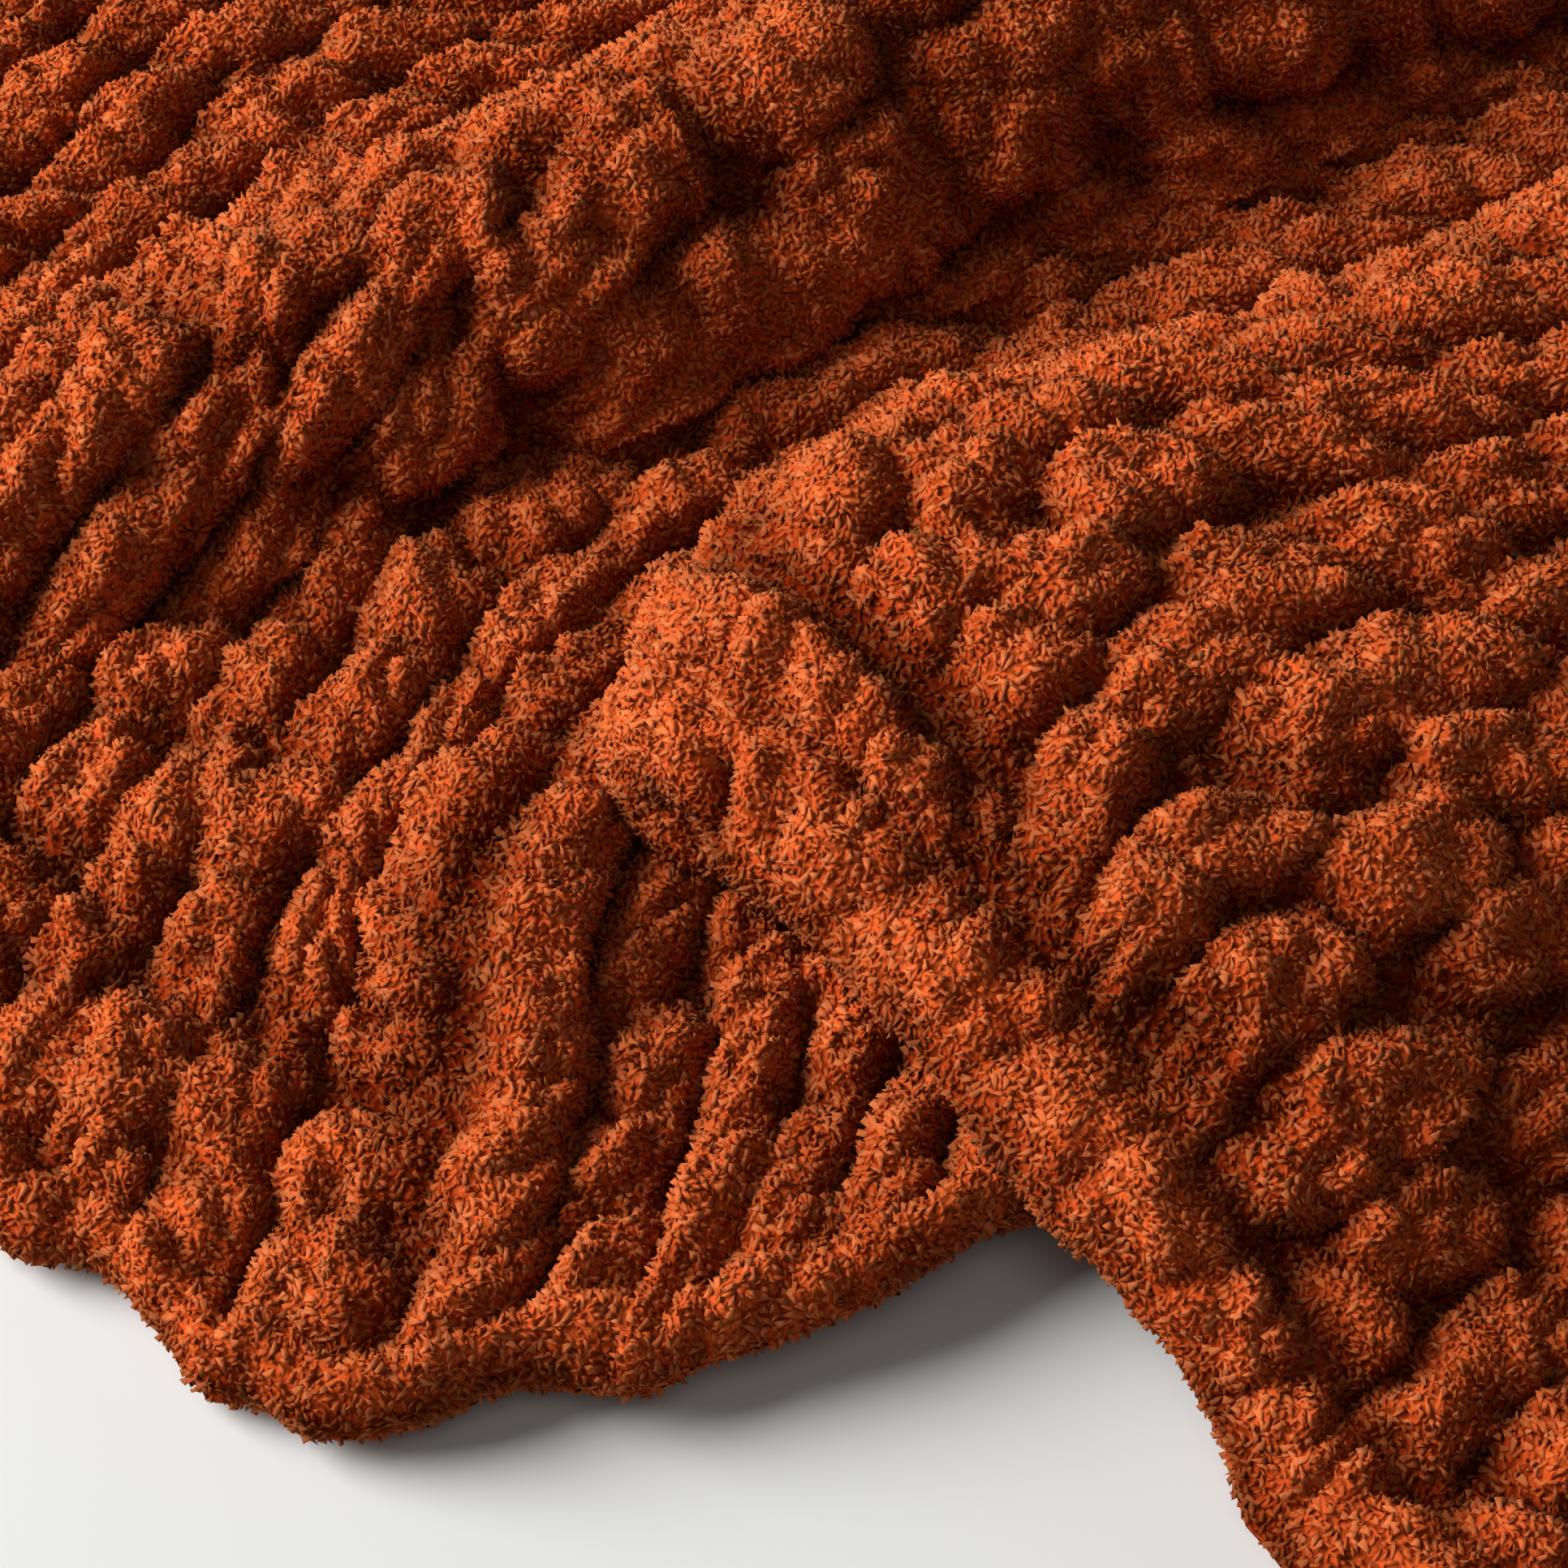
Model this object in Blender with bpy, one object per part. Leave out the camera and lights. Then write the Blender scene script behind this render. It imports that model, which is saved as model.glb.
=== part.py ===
"""Chunky knit blanket, one cut length lying in loose folds.

One piece of thick ribbed knit.  Its near hem lies on the surface, rises as a
low wave, and is then folded back over itself twice, so that its upper layer
lies on the right as a flap.  A high roll of the same cloth lies on the left.
The ribs run from the hem to the far edge.  All sizes are in metres, +Z is up.
"""

import bmesh
import bpy
import numpy as np

# Knit
RIB_COUNT = 37
RIB_PITCH = 0.027
UNIT = RIB_PITCH / 32
RIB_HALF_THICKNESS = 13 * UNIT
GROOVE_HALF_THICKNESS = 6 * UNIT
EDGE_HALF_THICKNESS = 5 * UNIT
EDGE_ROUNDING = 16 * UNIT

# Mesh steps
STEPS_PER_RIB = 4
HEM_ROWS = (0, 11, 30)
ROW_COUNT = 20
SAMPLES_PER_CORNER = 40

# The roll of cloth at the back: its side lines, measured from its top line
ROLL_BEARING = 30
ROLL_LINES = [
    # out from the top, share of the top's height
    (-76, 0.0),
    (-40, 0.55),
    (0, 1.0),
    (30, 0.62),
    (54, 0.0),
]

# Fold lines, in units of 1/32 of a rib's width, at six distances from the hem.
# Each row is a line in the cloth: x, y and the height of the cloth's middle.
# "lay" is one line, "turn" is a turned edge up to the given height.
# The part's origin is on the surface, at the middle of the laid cloth.
FLOOR_HEIGHT = 10
ORIGIN = (139.4, 169.5)
# The rib that lies on top of the low wave
LEG_RIB = 13.5
STATIONS = (0, 80, 160, 250, 400, 680)
FOLD_LINES = [
    # line, form, at the hem, near, shoulder,
    #     middle, far, end
    ("left edge", "lay", (-425, 75, 10), (-381, 142, 10), (-338, 209, 10),
        (-289, 284, 10), (-207, 410, 10), (-40, 635, 10)),
    ("roll", "roll", (-353, 21, 26), (-270, 70, 40), (-192, 114, 54),
        (-106, 165, 70), (41, 249, 84), (311, 405, 70)),
    ("valley", "lay", (-284, -52, 10), (-216, 7, 10), (-150, 52, 10),
        (-66, 106, 10), (85, 194, 10), (360, 348, 10)),
    ("left field", "lay", (-205, -128, 12), (-158, -57, 14), (-114, 14, 16),
        (-54, 88, 12), (100, 182, 10), (378, 333, 10)),
    ("leg side", "lay", (-135, -175, 10), (-110, -106, 14), (-100, -28, 16),
        (-46, 66, 12), (116, 170, 10), (396, 318, 10)),
    ("leg", "lay", (-97, -190, 12), (-82, -120, 26), (-78, -50, 38),
        (-34, 48, 13), (134, 158, 11), (414, 303, 10)),
    ("pocket", "lay", (-62, -184, 10), (-48, -114, 16), (-45, -50, 16),
        (-4, 24, 10), (160, 140, 10), (438, 285, 10)),
    ("pocket end", "lay", (30, -158, 10), (38, -82, 12), (66, -20, 10),
        (115, 32, 10), (235, 108, 10), (488, 258, 10)),
    ("tuck", "turn", (84, -124, 37), (118, -68, 37), (154, -34, 38),
        (202, 8, 38), (306, 88, 38), (548, 218, 38)),
    ("nose", "turn", (-26, -38, 67), (4, 36, 77), (66, 72, 81),
        (146, 104, 81), (268, 178, 77), (510, 302, 69)),
    ("flap", "lay", (14, -93, 63), (67, -34, 78), (127, 17, 78),
        (196, 66, 76), (317, 141, 72), (556, 262, 66)),
    ("flap slope", "lay", (72, -160, 51), (132, -100, 61), (193, -37, 62),
        (260, 24, 61), (371, 103, 60), (606, 205, 50)),
    ("flap foot", "lay", (120, -224, 12), (182, -165, 13), (245, -109, 14),
        (316, -47, 14), (430, 45, 13), (655, 148, 10)),
    ("right edge", "lay", (168, -296, 10), (232, -243, 10), (294, -191, 10),
        (367, -132, 10), (485, -40, 10), (704, 76, 10)),
]

# How far each line is pressed flat by the layers on it
PRESSED = {"pocket end": 0.6, "tuck": 1.0, "nose": 0.5}
PRESSED_THICKNESS = 0.78
# The cloth is squeezed inside a bend: its share of the bend's radius
BEND_SHARE = 0.65


def smooth_through(values, places, wanted):
    """Cubic curve through values, which stand at the given places."""
    values = np.asarray(values, float)
    places = np.asarray(places, float)
    slopes = np.gradient(values, places, axis=0)
    spans = np.clip(np.searchsorted(places, wanted, side="right") - 1, 0, len(places) - 2)
    width = places[spans + 1] - places[spans]
    t = ((wanted - places[spans]) / width)[:, None]
    width = width[:, None]
    start = (2 * t**3 - 3 * t**2 + 1) * values[spans] + (t**3 - 2 * t**2 + t) * width * slopes[spans]
    finish = (3 * t**2 - 2 * t**3) * values[spans + 1] + (t**3 - t**2) * width * slopes[spans + 1]
    return start + finish


def turned_edge(corners, place, low, high):
    """Three corners of a turned edge, which bulges away from the layer before it."""
    away = np.array(place) - np.array(corners[-1][:2])
    tip = np.array(place) + away / np.linalg.norm(away) * (high - low) / 2
    return [(*place, low), (*tip, (low + high) / 2), (*place, high)]


def fold_corners(distance):
    """Corner points of the cloth's middle across the ribs, by the line they belong to."""
    corners = []
    lines = []
    height = FLOOR_HEIGHT
    out = np.radians(ROLL_BEARING - 90)
    for name, form, *places in FOLD_LINES:
        x, y, z = smooth_through(places, STATIONS, np.array([distance]))[0]
        if form == "roll":
            made = [(x + step * np.cos(out), y + step * np.sin(out), FLOOR_HEIGHT + (z - FLOOR_HEIGHT) * share)
                    for step, share in ROLL_LINES]
        elif form == "turn":
            made = turned_edge(corners, (x, y), height, z)
        else:
            made = [(x, y, z)]
        corners += made
        lines += [name] * len(made)
        height = made[-1][2]
    return np.array(corners), lines


def cross_section(distance, columns):
    """Middle of the cloth across the ribs, at one distance from the hem."""
    corners, lines = fold_corners(distance)
    chords = np.sqrt(np.linalg.norm(np.diff(corners, axis=0), axis=1))
    knots = np.concatenate([[0], np.cumsum(chords)])
    steps = np.linspace(0, knots[-1], SAMPLES_PER_CORNER * len(corners))
    fine = smooth_through(corners, knots, steps)
    lengths = np.concatenate([[0], np.cumsum(np.linalg.norm(np.diff(fine, axis=0), axis=1))])
    leg = np.interp(knots[lines.index("leg")], steps, lengths)
    ribs = np.linspace(0, RIB_COUNT, columns)
    wanted = np.interp(ribs, [0, LEG_RIB, RIB_COUNT], [0, leg, lengths[-1]])
    middle = np.stack([np.interp(wanted, lengths, fine[:, axis]) for axis in range(3)], axis=1)
    pressed = [PRESSED.get(line, 0.0) for line in lines]
    share = np.interp(wanted, lengths, np.interp(steps, knots, pressed))
    return (middle - [*ORIGIN, 0]) * UNIT, share, lengths[-1]


def row_distances():
    plain = STATIONS[-1] - HEM_ROWS[-1]
    count = ROW_COUNT - len(HEM_ROWS)
    return list(HEM_ROWS) + [HEM_ROWS[-1] + plain * (i + 1) / count for i in range(count)]


def middle_surface():
    columns = RIB_COUNT * STEPS_PER_RIB + 1
    sections = [cross_section(distance, columns) for distance in row_distances()]
    return np.array([s[0] for s in sections]), np.array([s[1] for s in sections])


def half_thickness(pressed):
    rows = row_distances()
    columns = RIB_COUNT * STEPS_PER_RIB + 1
    phase = np.arange(columns) / STEPS_PER_RIB
    rib = GROOVE_HALF_THICKNESS + (RIB_HALF_THICKNESS - GROOVE_HALF_THICKNESS) * np.abs(np.sin(np.pi * phase))
    result = np.tile(rib, (len(rows), 1)) * (1 + (PRESSED_THICKNESS - 1) * pressed)
    for i, distance in enumerate(rows):
        nearest = min(distance, STATIONS[-1] - distance) * UNIT
        blend = min(1.0, nearest / EDGE_ROUNDING)
        result[i] = EDGE_HALF_THICKNESS + (result[i] - EDGE_HALF_THICKNESS) * blend
    return result


def outward(surface):
    along = np.gradient(surface, axis=0)
    across = np.gradient(surface, axis=1)
    normal = np.cross(across, along)
    return normal / np.linalg.norm(normal, axis=2, keepdims=True)


def bend(surface, normal, axis):
    """How sharply the surface bends towards its normal, as one over the radius."""
    step = np.gradient(surface, axis=axis)
    length = np.linalg.norm(step, axis=2, keepdims=True)
    turning = np.gradient(step / length, axis=axis) / length
    return np.sum(turning * normal, axis=2)


def face_points(middle, pressed, side):
    """Points of one face of the cloth: side 1 is the front, -1 the back."""
    normal = outward(middle)
    sharpest = np.maximum(side * bend(middle, normal, 0), side * bend(middle, normal, 1))
    room = BEND_SHARE / np.maximum(sharpest, 1e-6)
    depth = np.minimum(half_thickness(pressed), room)
    points = middle + side * normal * depth[:, :, None]
    points[:, :, 2] = np.maximum(points[:, :, 2], 0.0)
    return points


def cloth_mesh(name):
    middle, pressed = middle_surface()
    rows, columns = middle.shape[:2]
    bm = bmesh.new()
    for side in (1, -1):
        points = face_points(middle, pressed, side)
        made = bmesh.ops.create_grid(bm, x_segments=columns - 1, y_segments=rows - 1, size=0.5)
        for vert in made["verts"]:
            column = int(round((vert.co.x + 0.5) * (columns - 1)))
            row = int(round((vert.co.y + 0.5) * (rows - 1)))
            vert.co = points[row, column]
    rim = [edge for edge in bm.edges if edge.is_boundary]
    bmesh.ops.bridge_loops(bm, edges=rim)
    bmesh.ops.recalc_face_normals(bm, faces=bm.faces)
    bmesh.ops.triangulate(bm, faces=bm.faces)
    mesh = bpy.data.meshes.new(name)
    bm.to_mesh(mesh)
    bm.free()
    mesh.shade_smooth()
    return mesh


def chenille_material():
    material = bpy.data.materials.new("rust_chenille")
    material.use_nodes = True
    shader = material.node_tree.nodes["Principled BSDF"]
    shader.inputs["Base Color"].default_value = (0.45, 0.085, 0.02, 1)
    shader.inputs["Roughness"].default_value = 0.95
    shader.inputs["Metallic"].default_value = 0.0
    return material


for old in list(bpy.data.objects):
    bpy.data.objects.remove(old, do_unlink=True)
collection = bpy.data.collections.new("chunky_knit_blanket")
bpy.context.scene.collection.children.link(collection)
blanket = bpy.data.objects.new("knit_blanket", cloth_mesh("knit_blanket"))
blanket.data.materials.append(chenille_material())
collection.objects.link(blanket)
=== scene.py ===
"""Looks of the chunky knit blanket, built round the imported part."""
import math

import bpy
import numpy as np
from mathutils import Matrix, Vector


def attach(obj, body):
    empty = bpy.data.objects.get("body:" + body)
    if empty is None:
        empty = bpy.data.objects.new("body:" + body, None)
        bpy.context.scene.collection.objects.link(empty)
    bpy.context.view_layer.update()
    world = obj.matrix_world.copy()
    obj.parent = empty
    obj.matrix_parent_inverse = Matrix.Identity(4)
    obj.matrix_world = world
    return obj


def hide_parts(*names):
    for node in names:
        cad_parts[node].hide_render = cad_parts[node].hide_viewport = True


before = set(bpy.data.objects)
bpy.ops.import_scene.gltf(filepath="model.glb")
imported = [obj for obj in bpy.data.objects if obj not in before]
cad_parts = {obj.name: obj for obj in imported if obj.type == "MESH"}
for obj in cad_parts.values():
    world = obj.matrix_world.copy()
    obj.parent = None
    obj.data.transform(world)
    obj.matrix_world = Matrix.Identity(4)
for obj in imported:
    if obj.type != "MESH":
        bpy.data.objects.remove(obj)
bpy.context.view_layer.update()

# The knitted cloth
# One panel of thick chenille yarn, hand-knitted in ribs of plump slanted stitches and cast off
# along its hem in cords that run with the edge.  It lies in the folds of its solid.

UNIT = 0.027 / 32
RIB_COUNT = 37
RIB_UNITS = 32

GROOVE_DEPTH = 1.0
STITCH_DEPTH = 17.0
BACK_GROOVE_DEPTH = 6.0
BACK_RIB_DEPTH = 12.0
BACK_CREST = 0.6
EDGE_DEPTH = 3.5
EDGE_ROUNDING = 13

COLUMNS_PER_RIB = 12
ROWS = 168
BACK_COLUMN_STEP = 3
BACK_ROW_STEP = 2
SAMPLES_PER_CORNER = 40

# The roll of cloth: its side lines, measured from its top line
ROLL_BEARING = 30
ROLL_LINES = [
    # out from the top, share of the top's height
    (-76, 0.0),
    (-40, 0.55),
    (0, 1.0),
    (30, 0.62),
    (54, 0.0),
]

# Fold lines, in units of 1/32 of a rib's width, at six distances from the hem.
# Each row is a line in the cloth: x, y and the height of the cloth's middle.
# "lay" is one line, "turn" is a turned edge up to the given height.
FLOOR_HEIGHT = 10
ORIGIN = (139.4, 169.5)
LEG_RIB = 13.5
STATIONS = (0, 80, 160, 250, 400, 680)
FOLD_LINES = [
    # line, form, at the hem, near, shoulder,
    #     middle, far, end
    ("left edge", "lay", (-425, 75, 10), (-381, 142, 10), (-338, 209, 10),
        (-289, 284, 10), (-207, 410, 10), (-40, 635, 10)),
    ("roll", "roll", (-353, 21, 26), (-270, 70, 40), (-192, 114, 54),
        (-106, 165, 70), (41, 249, 84), (311, 405, 70)),
    ("valley", "lay", (-284, -52, 10), (-216, 7, 10), (-150, 52, 10),
        (-66, 106, 10), (85, 194, 10), (360, 348, 10)),
    ("left field", "lay", (-205, -128, 12), (-158, -57, 14), (-114, 14, 16),
        (-54, 88, 12), (100, 182, 10), (378, 333, 10)),
    ("leg side", "lay", (-135, -175, 10), (-110, -106, 14), (-100, -28, 16),
        (-46, 66, 12), (116, 170, 10), (396, 318, 10)),
    ("leg", "lay", (-97, -190, 12), (-82, -120, 26), (-78, -50, 38),
        (-34, 48, 13), (134, 158, 11), (414, 303, 10)),
    ("pocket", "lay", (-62, -184, 10), (-48, -114, 16), (-45, -50, 16),
        (-4, 24, 10), (160, 140, 10), (438, 285, 10)),
    ("pocket end", "lay", (30, -158, 10), (38, -82, 12), (66, -20, 10),
        (115, 32, 10), (235, 108, 10), (488, 258, 10)),
    ("tuck", "turn", (84, -124, 37), (118, -68, 37), (154, -34, 38),
        (202, 8, 38), (306, 88, 38), (548, 218, 38)),
    ("nose", "turn", (-26, -38, 67), (4, 36, 77), (66, 72, 81),
        (146, 104, 81), (268, 178, 77), (510, 302, 69)),
    ("flap", "lay", (14, -93, 63), (67, -34, 78), (127, 17, 78),
        (196, 66, 76), (317, 141, 72), (556, 262, 66)),
    ("flap slope", "lay", (72, -160, 51), (132, -100, 61), (193, -37, 62),
        (260, 24, 61), (371, 103, 60), (606, 205, 50)),
    ("flap foot", "lay", (120, -224, 12), (182, -165, 13), (245, -109, 14),
        (316, -47, 14), (430, 45, 13), (655, 148, 10)),
    ("right edge", "lay", (168, -296, 10), (232, -243, 10), (294, -191, 10),
        (367, -132, 10), (485, -40, 10), (704, 76, 10)),
]
PRESSED = {"pocket end": 0.6, "tuck": 1.0, "nose": 0.3}
PRESSED_THICKNESS = 0.78
BEND_SHARE = 0.8

# Stitches: each rib is a chain of plump slanted stitches
STITCH_PITCH = 40
STITCH_HALF_LENGTH = 25.5
STITCH_HALF_WIDTH = 0.98
STITCH_HEIGHT = 0.9
STITCH_SLANT = 0.46
STITCH_SIDE_STEP = 0.12
# How square a stitch's outline is, along its rib and across it: 2 is a circle
STITCH_SQUARE = (2.3, 3)
# How far stitches differ: place in units, and shares of slant, height and length
PLACE_CHANCE = 6
SLANT_CHANCE = 0.8
HEIGHT_CHANCE = 0.16
LENGTH_CHANCE = 0.15
STITCH_SEED = 11
# Chances are kept for so many stitches of a rib, and its first stitch has this number
CHANCE_COUNT = 64
FIRST_STITCH = 8
# The yarn's low ridge along each rib, between its stitches
RIDGE_HEIGHT = 0.28
# Where the low wave pulls the stitches straight: rib, distance, their spreads, share
STRAIGHT = [(15.8, 60, 2.8, 120, 0.85)]

# The ribs wander: by how many ribs, over how many ribs and units, and the noise's seed
RIB_DRIFTS = [
    (0.16, 2.3, 75, 3),
    (0.06, 1, 24, 4),
]

# Where the ribs are pulled aside in the folds
RIB_SHIFTS = [
    # rib, distance, spread in ribs, spread in units, shift in ribs
    (8.3, 430, 2.3, 110, 1.2),
    (11.6, 265, 1.6, 80, -0.8),
    (13.0, 190, 1.2, 80, -0.5),
    (27.8, 190, 1.6, 80, 0.5),
    (29.2, 50, 1.4, 40, -0.4),
]

# The low wave's ribs, drawn together: where each lies and how far it is shifted
WAVE_RIBS = [(11, 0.0), (12.5, -0.2), (13.45, -0.45), (14.45, -0.45), (15.35, -0.35), (16.1, -0.1),
             (16.85, 0.15), (17.6, 0.4), (19.5, 0.3), (21, 0.0)]
WAVE_FIRST_RIBS = (11, 12.5)
WAVE_LAST_RIBS = (19.5, 21)
WAVE_ENDS = (150, 230)
# The rib on top of the low wave is stretched to one smooth cord
WAVE_TOP = 13.95
WAVE_TOP_WIDTH = 0.7
WAVE_TOP_HEIGHT = 0.95

# Creases and lumps that the folds leave in the ribs, as a share of a stitch's height
CREASES = [
    # rib, distance, spread in ribs, spread in units, share
    (11.6, 78, 1.3, 9, -0.4),
    (13.1, 87, 0.4, 10, -0.6),
    (8.6, 70, 1.2, 9, -0.45),
    (13.35, 42, 0.25, 9, -1.1),
    (13.47, 120, 0.13, 80, -0.8),
    (12.9, 152, 0.4, 7, -0.5),
    (12.9, 112, 0.4, 7, -0.5),
    (10.6, 26, 1.4, 17, 0.22),
    (26.35, 12, 0.5, 15, 0.4),
    (27.05, 12, 0.2, 16, -0.8),
    (26.6, 63, 0.9, 8, -0.5),
    (28.3, 63, 0.9, 9, -0.9),
    (30.2, 45, 0.8, 7, -0.6),
    (32.2, 48, 0.7, 8, -0.6),
]

# Round clumps of pile in each stitch, and finer grains on them
CLUMP_SHARE = 0.5
CLUMPS_PER_RIB = 2.9
CLUMP_LENGTH = 11
CLUMP_MIDDLE = 0.35
CLUMP_SEED = 5
GRAIN_SHARE = 0.11
GRAINS_PER_RIB = 6
GRAIN_LENGTH = 5
GRAIN_SEED = 6
HIGHEST_RELIEF = 1.35

# Cast-off cords along the hem: middle line, half width, and the ribs that they run along
FLAP_CORDS = [
    # middle, half width, first rib, last rib, height
    (18, 20, 22, 40, 1.0),
    (50, 15, 22, 28.9, 1.12),
]
FLAP_BAND_AT = [(26, 66), (28.6, 64), (29.4, 39), (33, 31), (37, 30)]
FLAP_BAND_RIBS = (23.5, 26)
FLAP_GAP = 0.55
HEM_CORDS = [
    (9, 10, -1, 24, 0.95),
]
HEM_BAND = 17
HEM_GAP = 0.2
# The band of cords fades into the ribs over these units, with a narrow gap between them
BAND_BEFORE = 7
BAND_AFTER = 4
BAND_GAP_WIDTH = 7
CORD_STITCH_RIBS = 1.2
CORD_SLANT = 0.35
CORD_END = 0.4
CORD_LUMP_SHARE = 0.4
CORD_LUMP_CHANCE = 0.3
CORD_LUMP_SEED = 22
CORD_SWAY = 0.14
CORD_SWAYS_PER_RIB = 0.9
CORD_SWAY_SEED = 21

# The flap's free edge sags onto the layer under it
SAG = 12
SAG_REACH = 55
SAG_RIBS = (24.5, 27, 33, 35.5)

# The free hem of the low wave stands off the surface
LIFT = 14
LIFT_REACH = 95
LIFT_RIB = 17.8
LIFT_SPREAD = 3.4

# All four edges stand out here and there, by their stitches, and the corners are round
SCALLOP = 6
SIDE_SCALLOP = 5
SCALLOPS_PER_RIB = 0.9
SMALL_SCALLOPS_PER_RIB = 2.3
SMALL_SCALLOP_SHARE = 0.5
SCALLOP_REACH = 40
HEM_SEED = 31
FAR_SEED = 33
LEFT_SEED = 35
RIGHT_SEED = 37
CORNER = 34
LOBES = [
    # rib, spread in ribs, units
    (12.6, 1.6, 12),
    (16.2, 1.8, 10),
    (26.0, 1.1, -5),
]

# Rust tones of the yarn, from dark to bright, redder than the tufts that stand on it; the yarn picks them by
# its height, so its darker, redder grooves are painted shade
YARN_TONES = ((0.46, 0.044, 0.007), (0.49, 0.058, 0.010), (0.51, 0.080, 0.016))
YARN_ROUGHNESS = 0.95
SHEEN_TINT = (1.0, 0.46, 0.20, 1)
SHEEN_ROUGHNESS = 0.4
# Soft clouds of lighter and darker yarn, and the heights at which a groove's painted shade begins and ends
CLOUD_SCALE = 28.0
CLOUD_DETAIL = 3.0
CLOUD_RANGE = (0.3, 0.7)
CLOUD_SHADES = (0.86, 1.1)
PAINTED_SHADE_HEIGHTS = (0.1, 0.85)
# Winding curls: the sizes in metres of a wide and a fine noise, and how many waves each one gives
CURL_WIDE = 0.0065
CURL_WAVES = 4.0
CURL_FINE = 0.0016
CURL_BREAK = 0.9
# The span of the curl wave over which the painted shade between the curls rises to full colour
PAINTED_CURL_SHADE_RANGE = (-1.0, 0.4)


def smooth_through(values, places, wanted):
    """Cubic curve through values, which stand at the given places."""
    values = np.asarray(values, float)
    places = np.asarray(places, float)
    slopes = np.gradient(values, places, axis=0)
    spans = np.clip(np.searchsorted(places, wanted, side="right") - 1, 0, len(places) - 2)
    width = places[spans + 1] - places[spans]
    t = ((wanted - places[spans]) / width)[:, None]
    width = width[:, None]
    start = (2 * t**3 - 3 * t**2 + 1) * values[spans] + (t**3 - 2 * t**2 + t) * width * slopes[spans]
    finish = (3 * t**2 - 2 * t**3) * values[spans + 1] + (t**3 - t**2) * width * slopes[spans + 1]
    return start + finish


def turned_edge(corners, place, low, high):
    """Three corners of a turned edge, which bulges away from the layer before it."""
    away = np.array(place) - np.array(corners[-1][:2])
    tip = np.array(place) + away / np.linalg.norm(away) * (high - low) / 2
    return [(*place, low), (*tip, (low + high) / 2), (*place, high)]


def fold_corners(distance):
    """Corner points of the cloth's middle across the ribs, by the line they belong to."""
    corners = []
    lines = []
    height = FLOOR_HEIGHT
    out = np.radians(ROLL_BEARING - 90)
    for name, form, *places in FOLD_LINES:
        x, y, z = smooth_through(places, STATIONS, np.array([distance]))[0]
        if form == "roll":
            made = [(x + step * np.cos(out), y + step * np.sin(out),
                     FLOOR_HEIGHT + (z - FLOOR_HEIGHT) * share) for step, share in ROLL_LINES]
        elif form == "turn":
            made = turned_edge(corners, (x, y), height, z)
        else:
            made = [(x, y, z)]
        corners += made
        lines += [name] * len(made)
        height = made[-1][2]
    return np.array(corners), lines


def cross_section(distance, ribs):
    """Middle of the cloth across the ribs and how far it is pressed, at one distance."""
    corners, lines = fold_corners(distance)
    chords = np.sqrt(np.linalg.norm(np.diff(corners, axis=0), axis=1))
    knots = np.concatenate([[0], np.cumsum(chords)])
    steps = np.linspace(0, knots[-1], SAMPLES_PER_CORNER * len(corners))
    fine = smooth_through(corners, knots, steps)
    lengths = np.concatenate([[0], np.cumsum(np.linalg.norm(np.diff(fine, axis=0), axis=1))])
    leg = np.interp(knots[lines.index("leg")], steps, lengths)
    wanted = np.interp(ribs, [0, LEG_RIB, RIB_COUNT], [0, leg, lengths[-1]])
    middle = np.stack([np.interp(wanted, lengths, fine[:, axis]) for axis in range(3)], axis=1)
    pressed = [PRESSED.get(line, 0.0) for line in lines]
    return middle - [*ORIGIN, 0], np.interp(wanted, lengths, np.interp(steps, knots, pressed))


def outward(surface):
    """Unit normals of a grid of points, on the side of the knit's front."""
    along = np.gradient(surface, axis=0)
    across = np.gradient(surface, axis=1)
    normal = np.cross(across, along)
    return normal / np.linalg.norm(normal, axis=2, keepdims=True)


def bend(surface, normal, axis):
    """How sharply the surface bends towards its normal, as one over the radius."""
    step = np.gradient(surface, axis=axis)
    length = np.linalg.norm(step, axis=2, keepdims=True)
    turning = np.gradient(step / length, axis=axis) / length
    return np.sum(turning * normal, axis=2)


def soft_step(value, low, high):
    """0 below low, 1 above high, and a smooth rise between them."""
    t = np.clip((value - low) / (high - low), 0, 1)
    return t * t * (3 - 2 * t)


def soft_noise(a, b, seed):
    """Smooth noise from -1 to 1 over two coordinates, with one lump per whole step."""
    grid = np.random.default_rng(seed).uniform(-1, 1, (CHANCE_COUNT, CHANCE_COUNT))
    i = np.floor(a).astype(int)
    j = np.floor(b).astype(int)
    u = soft_step(a - i, 0, 1)
    v = soft_step(b - j, 0, 1)
    first = i % CHANCE_COUNT
    second = (i + 1) % CHANCE_COUNT
    near = grid[first, j % CHANCE_COUNT] * (1 - u) + grid[second, j % CHANCE_COUNT] * u
    far = grid[first, (j + 1) % CHANCE_COUNT] * (1 - u) + grid[second, (j + 1) % CHANCE_COUNT] * u
    return near * (1 - v) + far * v


def table_sum(rows, rib, distance):
    """Sum of soft bumps, one for each row of a table of places, spreads and amounts."""
    total = np.zeros_like(rib)
    for at_rib, at_distance, ribs, units, amount in rows:
        total += amount * np.exp(-(((rib - at_rib) / ribs) ** 2) - ((distance - at_distance) / units) ** 2)
    return total


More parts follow.
